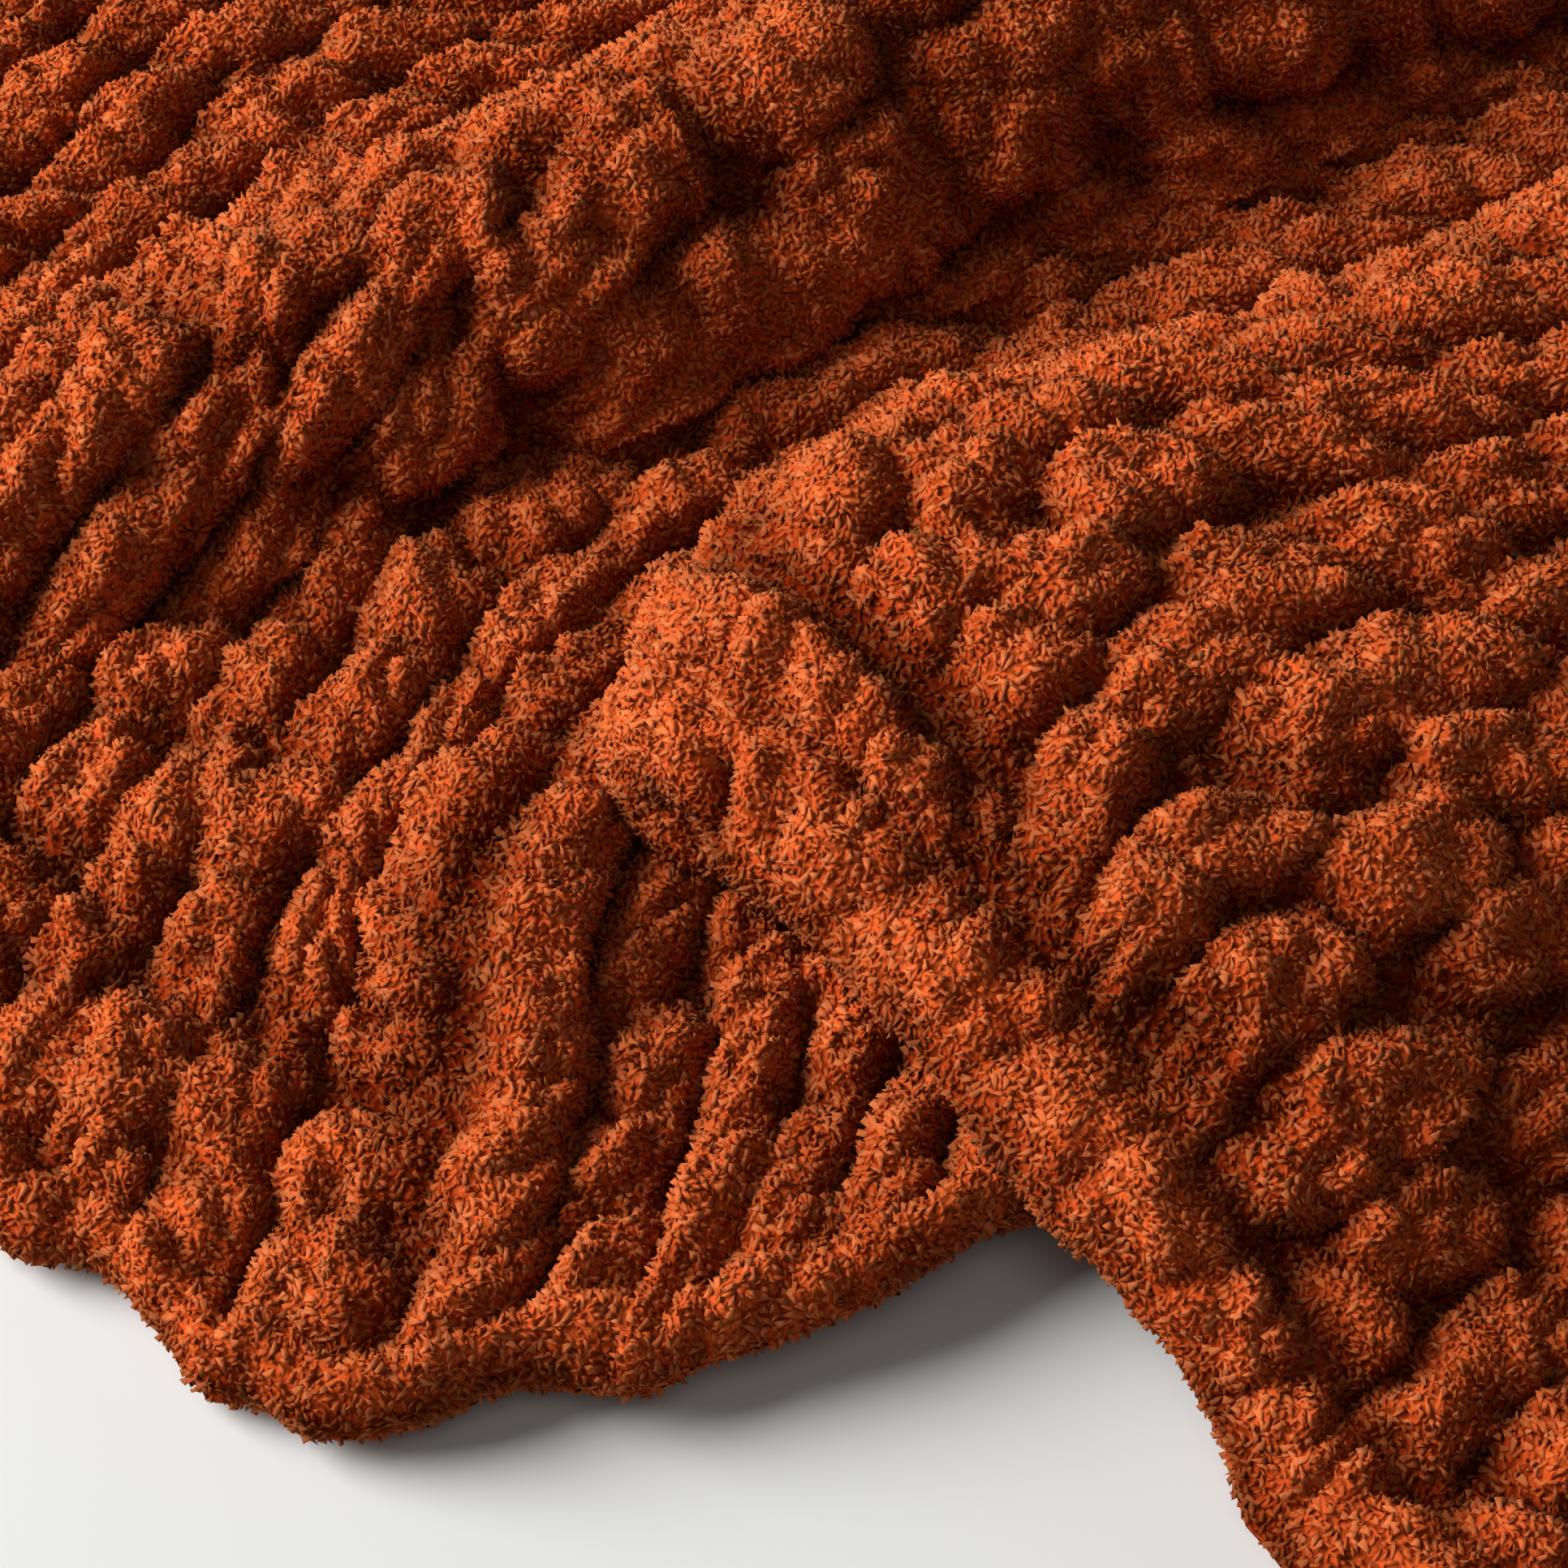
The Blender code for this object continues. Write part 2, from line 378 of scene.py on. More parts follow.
def stitch_height(rib, distance):
    """Ribs of plump stitches: 0 in a groove, 1 on top of a usual stitch."""
    chance = np.random.default_rng(STITCH_SEED).uniform(-1, 1, (RIB_COUNT + 2, CHANCE_COUNT, 4))
    drift = np.zeros_like(rib)
    for share, ribs, units, seed in RIB_DRIFTS:
        drift = drift + share * soft_noise(rib / ribs, distance / units, seed)
    drift = drift + table_sum(RIB_SHIFTS, rib, distance)
    near = 1 - soft_step(distance, *WAVE_ENDS)
    on_wave = soft_step(rib, *WAVE_FIRST_RIBS) * (1 - soft_step(rib, *WAVE_LAST_RIBS)) * near
    drift = drift * (1 - on_wave) + np.interp(rib, *zip(*WAVE_RIBS)) * on_wave
    column = np.clip(np.floor(rib + drift), 0, RIB_COUNT - 1).astype(int)
    side = 2 * (rib + drift - column) - 1
    ridge = np.sqrt(np.clip(1 - side**2, 0, 1))
    height = RIDGE_HEIGHT * ridge
    start = STITCH_PITCH * 0.5 * (1 + chance[column, 0, 0])
    for step in (-1, 0, 1):
        place = np.round((distance - start) / STITCH_PITCH).astype(int) + step
        number = (place + FIRST_STITCH) % CHANCE_COUNT
        shift, slant, tall, wide = np.moveaxis(chance[column, number], -1, 0)
        from_middle = distance - start - place * STITCH_PITCH - PLACE_CHANCE * shift
        along = from_middle / (STITCH_HALF_LENGTH * (1 + LENGTH_CHANCE * wide))
        lean = STITCH_SLANT * (1 + SLANT_CHANCE * slant) * (1 - table_sum(STRAIGHT, rib, distance))
        aside = STITCH_SIDE_STEP * np.where(place % 2 == 0, 1, -1)
        sideways = (side - aside - lean * along) / STITCH_HALF_WIDTH
        rounded = 1 - np.abs(along) ** STITCH_SQUARE[0] - np.abs(sideways) ** STITCH_SQUARE[1]
        dome = np.sqrt(np.clip(rounded, 0, 1))
        height = np.maximum(height, (STITCH_HEIGHT + HEIGHT_CHANCE * tall) * dome)
    stretched = WAVE_TOP_HEIGHT * near * np.exp(-(((rib - WAVE_TOP) / WAVE_TOP_WIDTH) ** 2))
    return np.maximum(height, stretched * ridge)


def cord_height(rib, distance, cords, band):
    """Cast-off cords along the hem, each a row of plump slanted stitches, and the gap behind them."""
    height = np.zeros_like(rib)
    for number, (middle, half, first, last, tall) in enumerate(cords):
        sway = CORD_SWAY * soft_noise(rib * CORD_SWAYS_PER_RIB, distance * 0 + number, CORD_SWAY_SEED)
        place = (distance - middle) / half - sway
        lump = rib / CORD_STITCH_RIBS + 0.5 * number - CORD_SLANT * place
        lump = lump + CORD_LUMP_CHANCE * soft_noise(rib, distance * 0, CORD_LUMP_SEED)
        beat = np.sqrt(np.abs(np.sin(np.pi * lump)))
        round_cord = np.sqrt(np.clip(1 - place**2, 0, 1))
        begun = soft_step(rib, first - CORD_END, first + CORD_END)
        along = begun * (1 - soft_step(rib, last - CORD_END, last + CORD_END))
        lumpy = 1 - CORD_LUMP_SHARE + CORD_LUMP_SHARE * beat
        height = np.maximum(height, tall * along * round_cord * lumpy)
    gap = np.exp(-(((distance - band) / BAND_GAP_WIDTH) ** 2))
    return height, gap


def relief(rib, distance):
    """Height of the knit's face above its grooves, 1 on top of a usual stitch."""
    height = stitch_height(rib, distance)
    on_flap = soft_step(rib, *FLAP_BAND_RIBS)
    flap_band = np.interp(rib, *zip(*FLAP_BAND_AT))
    for cords, band, share, gap_share in (
            (FLAP_CORDS, flap_band, on_flap, FLAP_GAP), (HEM_CORDS, HEM_BAND, 1 - on_flap, HEM_GAP)):
        cord, gap = cord_height(rib, distance, cords, band)
        inside = share * (1 - soft_step(distance, band - BAND_BEFORE, band + BAND_AFTER))
        height = height * (1 - inside) + cord * inside
        height = height * (1 - gap_share * share * gap)
    height = height + table_sum(CREASES, rib, distance)
    clumps = np.abs(soft_noise(rib * CLUMPS_PER_RIB, distance / CLUMP_LENGTH, CLUMP_SEED))
    grains = soft_noise(rib * GRAINS_PER_RIB, distance / GRAIN_LENGTH, GRAIN_SEED)
    height = height + CLUMP_SHARE * (clumps - CLUMP_MIDDLE) + GRAIN_SHARE * grains
    return np.clip(height, 0, HIGHEST_RELIEF)


def edge_share(rib, distance):
    """1 inside the cloth, falling round to 0 at its four edges."""
    from_side = np.minimum(rib, RIB_COUNT - rib) * RIB_UNITS
    from_end = np.minimum(distance, STATIONS[-1] - distance)
    t = np.clip(np.minimum(from_side, from_end) / EDGE_ROUNDING, 0, 1)
    return np.sqrt(1 - (1 - t) ** 2)


def edge_waves(places, seed):
    """How far an edge stands out along its length, in units."""
    wide = soft_noise(places * SCALLOPS_PER_RIB, places * 0, seed)
    small = soft_noise(places * SMALL_SCALLOPS_PER_RIB, places * 0, seed + 1)
    return wide + SMALL_SCALLOP_SHARE * small


def shape_edges(middle, ribs, distances):
    """Move the cloth's middle along itself, so that its edges wave and its corners are round."""
    rib, distance = np.meshgrid(ribs, distances)
    width = RIB_COUNT * RIB_UNITS
    across = rib * RIB_UNITS
    hem = SCALLOP * edge_waves(ribs, HEM_SEED)
    for at_rib, spread, units in LOBES:
        hem = hem + units * np.exp(-(((ribs - at_rib) / spread) ** 2))
    far = SCALLOP * edge_waves(ribs, FAR_SEED)
    left = SIDE_SCALLOP * edge_waves(distances / RIB_UNITS, LEFT_SEED)[:, None]
    right = SIDE_SCALLOP * edge_waves(distances / RIB_UNITS, RIGHT_SEED)[:, None]
    length = STATIONS[-1]
    along_move = far * soft_step(distance, length - SCALLOP_REACH, length)
    along_move = along_move - hem * (1 - soft_step(distance, 0, SCALLOP_REACH))
    across_move = right * soft_step(across, width - SCALLOP_REACH, width)
    across_move = across_move - left * (1 - soft_step(across, 0, SCALLOP_REACH))
    for side, edge in ((-1, across), (1, width - across)):
        for end, reach in ((-1, distance), (1, length - distance)):
            p = np.clip(1 - edge / CORNER, 0, 1)
            q = np.clip(1 - reach / CORNER, 0, 1)
            across_move = across_move + side * CORNER * p * (np.sqrt(1 - q**2 / 2) - 1)
            along_move = along_move + end * CORNER * q * (np.sqrt(1 - p**2 / 2) - 1)
    along = np.gradient(middle, distances, axis=0)
    over = np.gradient(middle, ribs * RIB_UNITS, axis=1)
    along /= np.linalg.norm(along, axis=2, keepdims=True)
    over /= np.linalg.norm(over, axis=2, keepdims=True)
    return middle + along_move[:, :, None] * along + across_move[:, :, None] * over


def offset_face(middle, depth, side):
    """One face of the cloth, in metres: side 1 is the front, -1 the back."""
    normal = outward(middle)
    sharpest = np.maximum(side * bend(middle, normal, 0), side * bend(middle, normal, 1))
    depth = np.minimum(depth, BEND_SHARE / np.maximum(sharpest, 1e-6))
    points = middle + side * normal * depth[:, :, None]
    points[:, :, 2] = np.maximum(points[:, :, 2], 0.0)
    return points * UNIT


def grid_faces(first, rows, columns, turned):
    """Quads of a grid of points that are numbered from first, row by row."""
    corner = first + np.arange(rows - 1)[:, None] * columns + np.arange(columns - 1)[None, :]
    quads = np.stack([corner, corner + 1, corner + columns + 1, corner + columns], axis=-1).reshape(-1, 4)
    return (quads[:, ::-1] if turned else quads).tolist()


def rim_loop(first, rows, columns):
    """Numbers of a grid's outer points, once round."""
    number = first + np.arange(rows * columns).reshape(rows, columns)
    return np.concatenate([number[0, :-1], number[:-1, -1], number[-1, :0:-1], number[:0:-1, 0]])


def rim_faces(front_rim, back_rim, row_steps, column_steps):
    """Faces that join the fine front to the coarse back, one to each back edge."""
    faces = []
    place = 0
    counts = [column_steps[0]] * column_steps[1] + [row_steps[0]] * row_steps[1]
    counts = counts + counts
    for i, count in enumerate(counts):
        front = [int(front_rim[(place + n) % len(front_rim)]) for n in range(count + 1)]
        back = [int(back_rim[(i + 1) % len(back_rim)]), int(back_rim[i])]
        faces.append((front + back)[::-1])
        place += count
    return faces


def knit_mesh(name):
    """The whole cloth as one closed mesh: a fine front, a coarser back and the rim between them."""
    ribs = np.linspace(0, RIB_COUNT, RIB_COUNT * COLUMNS_PER_RIB + 1)
    distances = np.linspace(0, STATIONS[-1], ROWS + 1)
    sections = [cross_section(distance, ribs) for distance in distances]
    middle = np.array([section[0] for section in sections])
    pressed = np.array([section[1] for section in sections])
    rib, distance = np.meshgrid(ribs, distances)
    sagging = soft_step(rib, *SAG_RIBS[:2]) * (1 - soft_step(rib, *SAG_RIBS[2:]))
    middle[:, :, 2] -= SAG * sagging * (1 - soft_step(distance, 0, SAG_REACH))
    lifted = np.exp(-(((rib - LIFT_RIB) / LIFT_SPREAD) ** 2))
    middle[:, :, 2] += LIFT * lifted * (1 - soft_step(distance, 0, LIFT_REACH))
    middle = shape_edges(middle, ribs, distances)
    height = relief(rib, distance)
    thin = 1 + (PRESSED_THICKNESS - 1) * pressed
    rounding = edge_share(rib, distance)
    front_depth = (GROOVE_DEPTH + (STITCH_DEPTH - GROOVE_DEPTH) * height) * thin
    front = offset_face(middle, EDGE_DEPTH + (front_depth - EDGE_DEPTH) * rounding, 1)
    back_rib = BACK_GROOVE_DEPTH + (BACK_RIB_DEPTH - BACK_GROOVE_DEPTH) * np.abs(np.sin(np.pi * rib))
    back = offset_face(middle, EDGE_DEPTH + (back_rib * thin - EDGE_DEPTH) * rounding, -1)
    back = back[::BACK_ROW_STEP, ::BACK_COLUMN_STEP]

    rows, columns = front.shape[:2]
    back_rows, back_columns = back.shape[:2]
    first_back = rows * columns
    faces = grid_faces(0, rows, columns, False) + grid_faces(first_back, back_rows, back_columns, True)
    faces += rim_faces(rim_loop(0, rows, columns), rim_loop(first_back, back_rows, back_columns),
                       (BACK_ROW_STEP, back_rows - 1), (BACK_COLUMN_STEP, back_columns - 1))
    mesh = bpy.data.meshes.new(name)
    points = np.concatenate([front.reshape(-1, 3), back.reshape(-1, 3)])
    mesh.from_pydata(points.tolist(), [], faces)
    crest = np.concatenate([height.ravel(), np.full(back_rows * back_columns, BACK_CREST)])
    rib_place = np.concatenate([rib.ravel(), rib[::BACK_ROW_STEP, ::BACK_COLUMN_STEP].ravel()])
    row_place = np.concatenate([distance.ravel(), distance[::BACK_ROW_STEP, ::BACK_COLUMN_STEP].ravel()])
    on_front = np.concatenate([np.ones(first_back), np.zeros(back_rows * back_columns)])
    labels = {"crest": crest, "rib_place": rib_place, "row_place": row_place, "on_front": on_front}
    for label, values in labels.items():
        mesh.attributes.new(label, "FLOAT", "POINT").data.foreach_set("value", values)
    mesh.shade_smooth()
    return mesh


def add_node(tree, kind, inputs=None, **settings):
    """A node with its settings, each input given as a value or as an output to link."""
    node = tree.nodes.new(kind)
    for name, value in settings.items():
        setattr(node, name, value)
    for name, value in (inputs or {}).items():
        socket = node.inputs[name]
        if isinstance(value, bpy.types.NodeSocket):
            tree.links.new(value, socket)
        else:
            socket.default_value = value
    return node


def multiply(tree, first, second):
    """Product of an output and either another output or a number."""
    node = add_node(tree, "ShaderNodeMath", operation="MULTIPLY")
    tree.links.new(first, node.inputs[0])
    if isinstance(second, bpy.types.NodeSocket):
        tree.links.new(second, node.inputs[1])
    else:
        node.inputs[1].default_value = second
    return node.outputs["Value"]


def softened_normal(tree, softness):
    """Each tuft's own normal, turned towards the yarn's, as light does that sinks into pile."""
    own = add_node(tree, "ShaderNodeNewGeometry").outputs["Normal"]
    yarn = add_node(tree, "ShaderNodeAttribute", attribute_name="yarn_normal").outputs["Vector"]
    turned = add_node(tree, "ShaderNodeVectorTransform", {"Vector": yarn},
                      vector_type="NORMAL", convert_from="OBJECT", convert_to="WORLD")
    pulled = add_node(tree, "ShaderNodeVectorMath", {"Scale": softness}, operation="SCALE")
    tree.links.new(turned.outputs["Vector"], pulled.inputs[0])
    both = add_node(tree, "ShaderNodeVectorMath", operation="ADD")
    tree.links.new(own, both.inputs[0])
    tree.links.new(pulled.outputs["Vector"], both.inputs[1])
    even = add_node(tree, "ShaderNodeVectorMath", operation="NORMALIZE")
    tree.links.new(both.outputs["Vector"], even.inputs[0])
    return even.outputs["Vector"]


def chenille_material(name, shade_label, tones, groove, gap, curl_height, sheen, softness):
    """Matte chenille: rust tones by an attribute, painted shade in the grooves, fine winding curls with
    painted shade between them.

    groove and gap are the darkest painted shade in the grooves and between the curls, and softness is how
    far the light follows the yarn's face instead of each tuft's.
    """
    material = bpy.data.materials.new(name)
    material.use_nodes = True
    tree = material.node_tree
    shader = tree.nodes["Principled BSDF"]
    place = add_node(tree, "ShaderNodeTexCoord").outputs["Object"]
    shade = add_node(tree, "ShaderNodeAttribute", attribute_name=shade_label).outputs["Fac"]
    crest = add_node(tree, "ShaderNodeAttribute", attribute_name="crest").outputs["Fac"]
    # Tones by the attribute: by the crest height of the yarn they are painted shade, darker and redder in the
    # grooves; by the tuft tone they differ at random
    ramp = add_node(tree, "ShaderNodeValToRGB", {"Fac": shade})
    ramp.color_ramp.elements[0].color = (*tones[0], 1)
    ramp.color_ramp.elements[1].color = (*tones[2], 1)
    ramp.color_ramp.elements.new(0.5).color = (*tones[1], 1)
    cloudy = add_node(tree, "ShaderNodeTexNoise", {
        "Vector": place, "Scale": CLOUD_SCALE, "Detail": CLOUD_DETAIL})
    level = add_node(tree, "ShaderNodeMapRange", {
        "Value": cloudy.outputs["Fac"], "From Min": CLOUD_RANGE[0], "From Max": CLOUD_RANGE[1],
        "To Min": CLOUD_SHADES[0], "To Max": CLOUD_SHADES[1]})
    # Painted shade: the colour falls to groove where the knit's face sinks into a groove
    painted_groove_shade = add_node(tree, "ShaderNodeMapRange", {
        "Value": crest, "From Min": PAINTED_SHADE_HEIGHTS[0], "From Max": PAINTED_SHADE_HEIGHTS[1],
        "To Min": groove, "To Max": 1.0})
    # Winding curls: waves along the contours of a soft noise, broken up by a finer one
    wide = add_node(tree, "ShaderNodeTexNoise", {"Vector": place, "Scale": 1 / CURL_WIDE, "Detail": 0.0})
    fine = add_node(tree, "ShaderNodeTexNoise", {"Vector": place, "Scale": 1 / CURL_FINE, "Detail": 0.0})
    phase = multiply(tree, wide.outputs["Fac"], 2 * math.pi * CURL_WAVES)
    broken = multiply(tree, fine.outputs["Fac"], 2 * math.pi * CURL_BREAK)
    both = add_node(tree, "ShaderNodeMath", operation="ADD")
    tree.links.new(phase, both.inputs[0])
    tree.links.new(broken, both.inputs[1])
    wave = add_node(tree, "ShaderNodeMath", operation="SINE")
    tree.links.new(both.outputs["Value"], wave.inputs[0])
    # Painted shade between the curls: the colour falls to gap in the wave's troughs
    between = add_node(tree, "ShaderNodeMapRange", {
        "Value": wave.outputs["Value"], "From Min": PAINTED_CURL_SHADE_RANGE[0], "From Max": PAINTED_CURL_SHADE_RANGE[1],
        "To Min": gap, "To Max": 1.0})
    # The colour is the clouds times the painted shade of the grooves and of the curls
    cloud_and_painted_shade = multiply(tree, level.outputs["Result"], painted_groove_shade.outputs["Result"])
    cloud_and_painted_shade = multiply(tree, cloud_and_painted_shade, between.outputs["Result"])
    colour = add_node(tree, "ShaderNodeVectorMath", {"Scale": cloud_and_painted_shade}, operation="SCALE")
    tree.links.new(ramp.outputs["Color"], colour.inputs[0])
    tree.links.new(colour.outputs["Vector"], shader.inputs["Base Color"])
    bump = add_node(tree, "ShaderNodeBump", {"Height": wave.outputs["Value"], "Distance": curl_height})
    if softness > 0:
        tree.links.new(softened_normal(tree, softness), bump.inputs["Normal"])
    tree.links.new(bump.outputs["Normal"], shader.inputs["Normal"])
    shader.inputs["Roughness"].default_value = YARN_ROUGHNESS
    shader.inputs["Specular IOR Level"].default_value = 0.0
    shader.inputs["Sheen Weight"].default_value = sheen
    shader.inputs["Sheen Roughness"].default_value = SHEEN_ROUGHNESS
    shader.inputs["Sheen Tint"].default_value = SHEEN_TINT
    return material


blanket = bpy.data.objects.new("blanket_cloth", knit_mesh("blanket_cloth"))
bpy.context.scene.collection.objects.link(blanket)
# The yarn's face takes its tones by its height, with painted shade in its grooves and between its curls
blanket.data.materials.append(chenille_material(
    "chenille_ground", "crest", YARN_TONES, groove=0.28, gap=0.45, curl_height=0.0004,
    sheen=0.0, softness=0.0))
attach(blanket, "root")
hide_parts("knit_blanket")

# The chenille pile
# Short blunt tufts of velvety fibre that lie all over the yarn, a little thinner in the grooves
# than on the stitches.  They are part of the yarn, cut and twisted in when it is spun.

TUFT_TONES = ((0.46, 0.066, 0.013), (0.50, 0.096, 0.023), (0.53, 0.150, 0.050))
TUFT_LENGTH = 0.0034
TUFT_WIDTH = 0.0016
TUFT_SPACING = 0.00145
TUFT_DENSITY = 1700000
TUFT_LEAN = 7.0
CURL_SIZE = 0.006
# How much the tufts differ in heading, turn, size and tone
HEADING_CHANCE = 0.32
TURN_CHANCE = 1.0
SIZE_RANGE = (0.75, 1.25)
TONE_RANGE = (0.15, 0.85)
# The pile's share in a groove, and the heights at which it begins and ends to be thinner
GROOVE_PILE = 0.8
PILE_HEIGHTS = (0.1, 0.6)
# The back is bare, apart from a rim along the hem and the far edge, and so is what lies lowest
EDGE_PILE_REACH = 22
BARE_HEIGHT = 0.003
RIB_TOLERANCE = 1e-6
# The face turned inwards under the flap, where no pile shows
HIDDEN_RIBS = (18.2, 24.6)
HIDDEN_FROM = 70

PILE_PATCHES = [
    # piece, first rib, last rib, seed
    ("pile_left", 0, 7, 1),
    ("pile_field", 7, 13, 2),
    ("pile_leg", 13, 24, 3),
    ("pile_fold", 24, 30.5, 4),
    ("pile_flap", 30.5, 37, 5),
]


def pile_tree():
    """Geometry Nodes tree that spreads points over a mesh and lays one tuft on each."""
    tree = bpy.data.node_groups.new("chenille_pile", "GeometryNodeTree")
    face = tree.interface
    face.new_socket("Geometry", in_out="INPUT", socket_type="NodeSocketGeometry")
    for name in ("Tuft length", "Tuft width", "Spacing", "Density", "Lean", "Curl size"):
        face.new_socket(name, in_out="INPUT", socket_type="NodeSocketFloat")
    face.new_socket("Seed", in_out="INPUT", socket_type="NodeSocketInt")
    face.new_socket("Material", in_out="INPUT", socket_type="NodeSocketMaterial")
    face.new_socket("Geometry", in_out="OUTPUT", socket_type="NodeSocketGeometry")
    given = tree.nodes.new("NodeGroupInput").outputs
    result = tree.nodes.new("NodeGroupOutput").inputs

    weight = add_node(tree, "GeometryNodeInputNamedAttribute", {"Name": "pile"}, data_type="FLOAT")
    points = add_node(tree, "GeometryNodeDistributePointsOnFaces", {
        "Mesh": given["Geometry"], "Distance Min": given["Spacing"], "Density Max": given["Density"],
        "Density Factor": weight.outputs["Attribute"], "Seed": given["Seed"]}, distribute_method="POISSON")

    place = add_node(tree, "GeometryNodeInputPosition").outputs["Position"]
    curl_scale = add_node(tree, "ShaderNodeMath", operation="DIVIDE")
    curl_scale.inputs[0].default_value = 1.0
    tree.links.new(given["Curl size"], curl_scale.inputs[1])
    curl = add_node(tree, "ShaderNodeTexNoise", {
        "Vector": place, "Scale": curl_scale.outputs["Value"], "Detail": 1.0})
    centred = add_node(tree, "ShaderNodeVectorMath", operation="SUBTRACT")
    tree.links.new(curl.outputs["Color"], centred.inputs[0])
    centred.inputs[1].default_value = (0.5, 0.5, 0.5)
    chance = add_node(tree, "FunctionNodeRandomValue", {"Seed": given["Seed"]}, data_type="FLOAT_VECTOR")
    chance.inputs[0].default_value = (-HEADING_CHANCE, -HEADING_CHANCE, -HEADING_CHANCE)
    chance.inputs[1].default_value = (HEADING_CHANCE, HEADING_CHANCE, HEADING_CHANCE)
    mixed = add_node(tree, "ShaderNodeVectorMath", operation="ADD")
    tree.links.new(centred.outputs["Vector"], mixed.inputs[0])
    tree.links.new(chance.outputs[0], mixed.inputs[1])
    lean = add_node(tree, "ShaderNodeVectorMath", {"Scale": given["Lean"]}, operation="SCALE")
    tree.links.new(mixed.outputs["Vector"], lean.inputs[0])
    aim = add_node(tree, "ShaderNodeVectorMath", operation="ADD")
    tree.links.new(points.outputs["Normal"], aim.inputs[0])
    tree.links.new(lean.outputs["Vector"], aim.inputs[1])
    upright = add_node(tree, "FunctionNodeAlignRotationToVector", {"Vector": aim.outputs["Vector"]}, axis="Z")
    spin = add_node(tree, "FunctionNodeRandomValue", {"Seed": given["Seed"]}, data_type="FLOAT")
    spin.inputs[2].default_value = -TURN_CHANCE
    spin.inputs[3].default_value = TURN_CHANCE
    twist = add_node(tree, "FunctionNodeAxisAngleToRotation", {"Angle": spin.outputs[1]})
    arched = add_node(tree, "FunctionNodeAlignRotationToVector", {
        "Rotation": upright.outputs["Rotation"], "Vector": points.outputs["Normal"]},
        axis="X", pivot_axis="Z")
    turned = add_node(tree, "FunctionNodeRotateRotation", {
        "Rotation": arched.outputs["Rotation"], "Rotate By": twist.outputs["Rotation"]},
        rotation_space="LOCAL")

    # One tuft: a closed chip of four faces, whose two blunt ends are turned across each other
    square = add_node(tree, "GeometryNodeMeshGrid", {
        "Size X": math.sqrt(2), "Size Y": math.sqrt(2), "Vertices X": 2, "Vertices Y": 2})
    corner = add_node(tree, "ShaderNodeSeparateXYZ", {
        "Vector": add_node(tree, "GeometryNodeInputPosition").outputs["Position"]})
    end = multiply(tree, multiply(tree, corner.outputs["X"], corner.outputs["Y"]), 2.0)
    pull = add_node(tree, "ShaderNodeCombineXYZ", {"Z": end})
    pulled = add_node(tree, "GeometryNodeSetPosition", {
        "Geometry": square.outputs["Mesh"], "Offset": pull.outputs["Vector"]})
    chip = add_node(tree, "GeometryNodeConvexHull", {"Geometry": pulled.outputs["Geometry"]})
    smooth = add_node(tree, "GeometryNodeSetShadeSmooth", {"Geometry": chip.outputs["Convex Hull"]})

    size = add_node(tree, "FunctionNodeRandomValue", {"Seed": given["Seed"]}, data_type="FLOAT")
    size.inputs[2].default_value = SIZE_RANGE[0]
    size.inputs[3].default_value = SIZE_RANGE[1]
    half_length = multiply(tree, given["Tuft length"], 0.5)
    half_width = multiply(tree, given["Tuft width"], 0.5)
    shape = add_node(tree, "ShaderNodeCombineXYZ", {"X": half_width, "Y": half_width, "Z": half_length})
    scale = add_node(tree, "ShaderNodeVectorMath", {"Scale": size.outputs[1]}, operation="SCALE")
    tree.links.new(shape.outputs["Vector"], scale.inputs[0])
    held = add_node(tree, "GeometryNodeStoreNamedAttribute", {
        "Geometry": points.outputs["Points"], "Name": "yarn_normal"},
        data_type="FLOAT_VECTOR", domain="POINT")
    tree.links.new(points.outputs["Normal"], held.inputs["Value"])
    kept = add_node(tree, "GeometryNodeInputNamedAttribute", {"Name": "yarn_normal"},
                    data_type="FLOAT_VECTOR")
    tufts = add_node(tree, "GeometryNodeInstanceOnPoints", {
        "Points": held.outputs["Geometry"], "Instance": smooth.outputs["Geometry"],
        "Rotation": turned.outputs["Rotation"], "Scale": scale.outputs["Vector"]})
    tone = add_node(tree, "FunctionNodeRandomValue", {"Seed": given["Seed"]}, data_type="FLOAT")
    tone.inputs[2].default_value = TONE_RANGE[0]
    tone.inputs[3].default_value = TONE_RANGE[1]
    aimed = add_node(tree, "GeometryNodeStoreNamedAttribute", {
        "Geometry": tufts.outputs["Instances"], "Name": "yarn_normal"},
        data_type="FLOAT_VECTOR", domain="INSTANCE")
    tree.links.new(kept.outputs["Attribute"], aimed.inputs["Value"])
    stored = add_node(tree, "GeometryNodeStoreNamedAttribute", {
        "Geometry": aimed.outputs["Geometry"], "Name": "tuft_tone"}, data_type="FLOAT", domain="INSTANCE")
    tree.links.new(tone.outputs[1], stored.inputs["Value"])
    real = add_node(tree, "GeometryNodeRealizeInstances", {"Geometry": stored.outputs["Geometry"]})
    dressed = add_node(tree, "GeometryNodeSetMaterial", {
        "Geometry": real.outputs["Geometry"], "Material": given["Material"]})
    tree.links.new(dressed.outputs["Geometry"], result["Geometry"])
    return tree


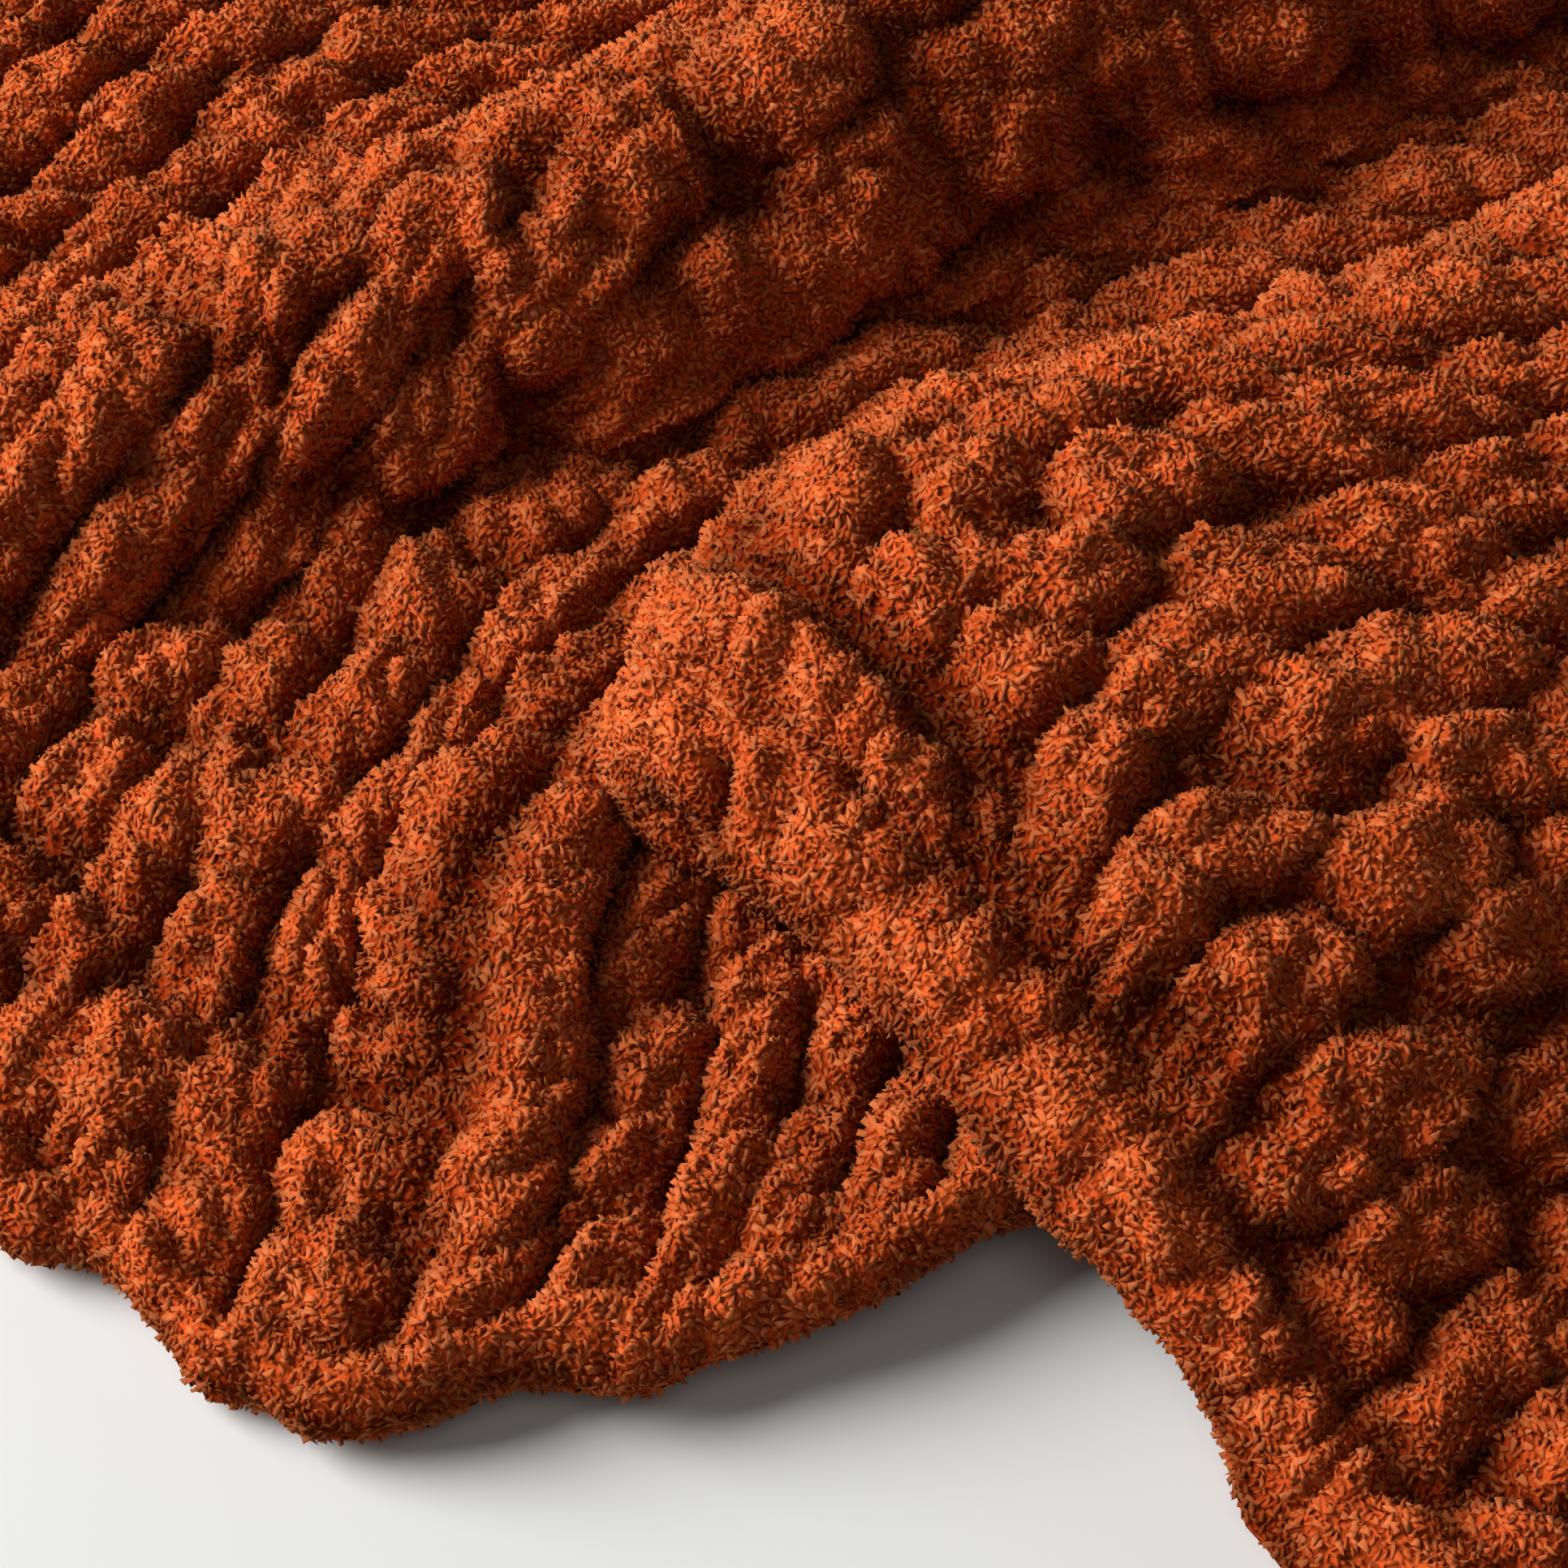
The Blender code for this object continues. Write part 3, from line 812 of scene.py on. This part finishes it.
def pile_weight(mesh, first, last):
    """How thickly each point of the cloth is set with tufts, inside one patch of ribs."""
    count = len(mesh.vertices)
    values = {}
    for label in ("crest", "rib_place", "row_place", "on_front"):
        values[label] = np.empty(count)
        mesh.attributes[label].data.foreach_get("value", values[label])
    points = np.empty(count * 3)
    mesh.vertices.foreach_get("co", points)
    height = points[2::3]
    inside = (values["rib_place"] >= first) & (values["rib_place"] < last + RIB_TOLERANCE)
    front = GROOVE_PILE + (1 - GROOVE_PILE) * soft_step(values["crest"], *PILE_HEIGHTS)
    inner = (values["rib_place"] > HIDDEN_RIBS[0]) & (values["rib_place"] < HIDDEN_RIBS[1])
    front = np.where(inner & (values["row_place"] > HIDDEN_FROM), 0.0, front)
    from_edge = np.minimum(values["row_place"], STATIONS[-1] - values["row_place"])
    near_edge = from_edge < EDGE_PILE_REACH
    front = np.where(near_edge, 1.0, front)
    weight = np.where(values["on_front"] > 0.5, front, np.where(near_edge, 1.0, 0.0))
    return np.where(inside & (height > BARE_HEIGHT), weight, 0.0)


def grow_pile(name, first, last, seed, tree, material):
    """The tufts on one patch of ribs, as a plain mesh in an object of its own."""
    ground = blanket.data.copy()
    weight = pile_weight(ground, first, last)
    ground.attributes.new("pile", "FLOAT", "POINT").data.foreach_set("value", weight)
    emitter = bpy.data.objects.new(name + "_ground", ground)
    bpy.context.scene.collection.objects.link(emitter)
    modifier = emitter.modifiers.new("pile", "NODES")
    modifier.node_group = tree
    sizes = {"Tuft length": TUFT_LENGTH, "Tuft width": TUFT_WIDTH, "Spacing": TUFT_SPACING,
             "Density": TUFT_DENSITY, "Lean": TUFT_LEAN, "Curl size": CURL_SIZE, "Seed": seed,
             "Material": material}
    for item in tree.interface.items_tree:
        if item.name in sizes:
            modifier[item.identifier] = sizes[item.name]
    evaluated = emitter.evaluated_get(bpy.context.evaluated_depsgraph_get())
    mesh = bpy.data.meshes.new_from_object(evaluated)
    mesh.name = name
    piece = bpy.data.objects.new(name, mesh)
    bpy.data.objects.remove(emitter)
    bpy.context.scene.collection.objects.link(piece)
    return piece


# The tufts darken with the yarn's height as painted shade and between their curls; their tones differ at
# random
tuft_chenille = chenille_material(
    "chenille_pile", "tuft_tone", TUFT_TONES, groove=0.32, gap=0.85, curl_height=0.0001,
    sheen=0.12, softness=1.0)
tuft_tree = pile_tree()
for name, first, last, seed in PILE_PATCHES:
    piece = grow_pile(name, first, last, seed, tuft_tree, tuft_chenille)
    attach(piece, "root")

# The surface
# A plain pale studio surface that the cloth lies on, matte, and far wider than the cloth.

SURFACE_SIZE = 8.0
SURFACE_COLOUR = (0.585, 0.588, 0.576, 1)
SURFACE_ROUGHNESS = 0.7

bpy.ops.mesh.primitive_plane_add(size=SURFACE_SIZE)
surface = bpy.context.object
surface.name = "surface"
surface_paint = bpy.data.materials.new("pale_surface")
surface_paint.use_nodes = True
surface_shader = surface_paint.node_tree.nodes["Principled BSDF"]
surface_shader.inputs["Base Color"].default_value = SURFACE_COLOUR
surface_shader.inputs["Roughness"].default_value = SURFACE_ROUGHNESS
surface.data.materials.append(surface_paint)

# Light
# One large soft window-like light from the upper left, a weak one from above the camera, and a
# weak even light from all round.

EVEN_COLOUR = (1, 0.98, 0.95, 1)
EVEN_STRENGTH = 0.085


def soft_light(name, place, target, size, power):
    """A round area light that faces its target."""
    lamp = bpy.data.lights.new(name, "AREA")
    lamp.shape = "DISK"
    lamp.size = size
    lamp.energy = power
    light = bpy.data.objects.new(name, lamp)
    light.location = place
    light.rotation_euler = (Vector(target) - Vector(place)).to_track_quat("-Z", "Y").to_euler()
    bpy.context.scene.collection.objects.link(light)


soft_light("window", place=(-3.0, 0.2, 2.0), target=(-0.05, -0.1, 0), size=2.7, power=284)
soft_light("overhead", place=(0.0, -1.3, 2.0), target=(0, 0, 0), size=1.4, power=6)
world = bpy.data.worlds.new("studio")
bpy.context.scene.world = world
world.use_nodes = True
world.node_tree.nodes["Background"].inputs["Color"].default_value = EVEN_COLOUR
world.node_tree.nodes["Background"].inputs["Strength"].default_value = EVEN_STRENGTH
bpy.context.scene.view_settings.view_transform = "Standard"

# Camera
# The photograph's close view, from 50 degrees above the surface.

CAMERA_ELEVATION = 50
CAMERA_DISTANCE = 0.970
CAMERA_VIEW_WIDTH = 0.3586
CAMERA_TARGET = (-0.1176, -0.1430, 0.0169)
SENSOR_WIDTH = 36

camera = bpy.data.objects.new("camera", bpy.data.cameras.new("camera"))
camera.data.sensor_width = SENSOR_WIDTH
camera.data.lens = SENSOR_WIDTH * CAMERA_DISTANCE / CAMERA_VIEW_WIDTH
elevation = math.radians(CAMERA_ELEVATION)
towards = Vector((0, -math.cos(elevation), math.sin(elevation)))
camera.location = Vector(CAMERA_TARGET) + towards * CAMERA_DISTANCE
camera.rotation_euler = (-towards).to_track_quat("-Z", "Y").to_euler()
bpy.context.scene.collection.objects.link(camera)
bpy.context.scene.camera = camera
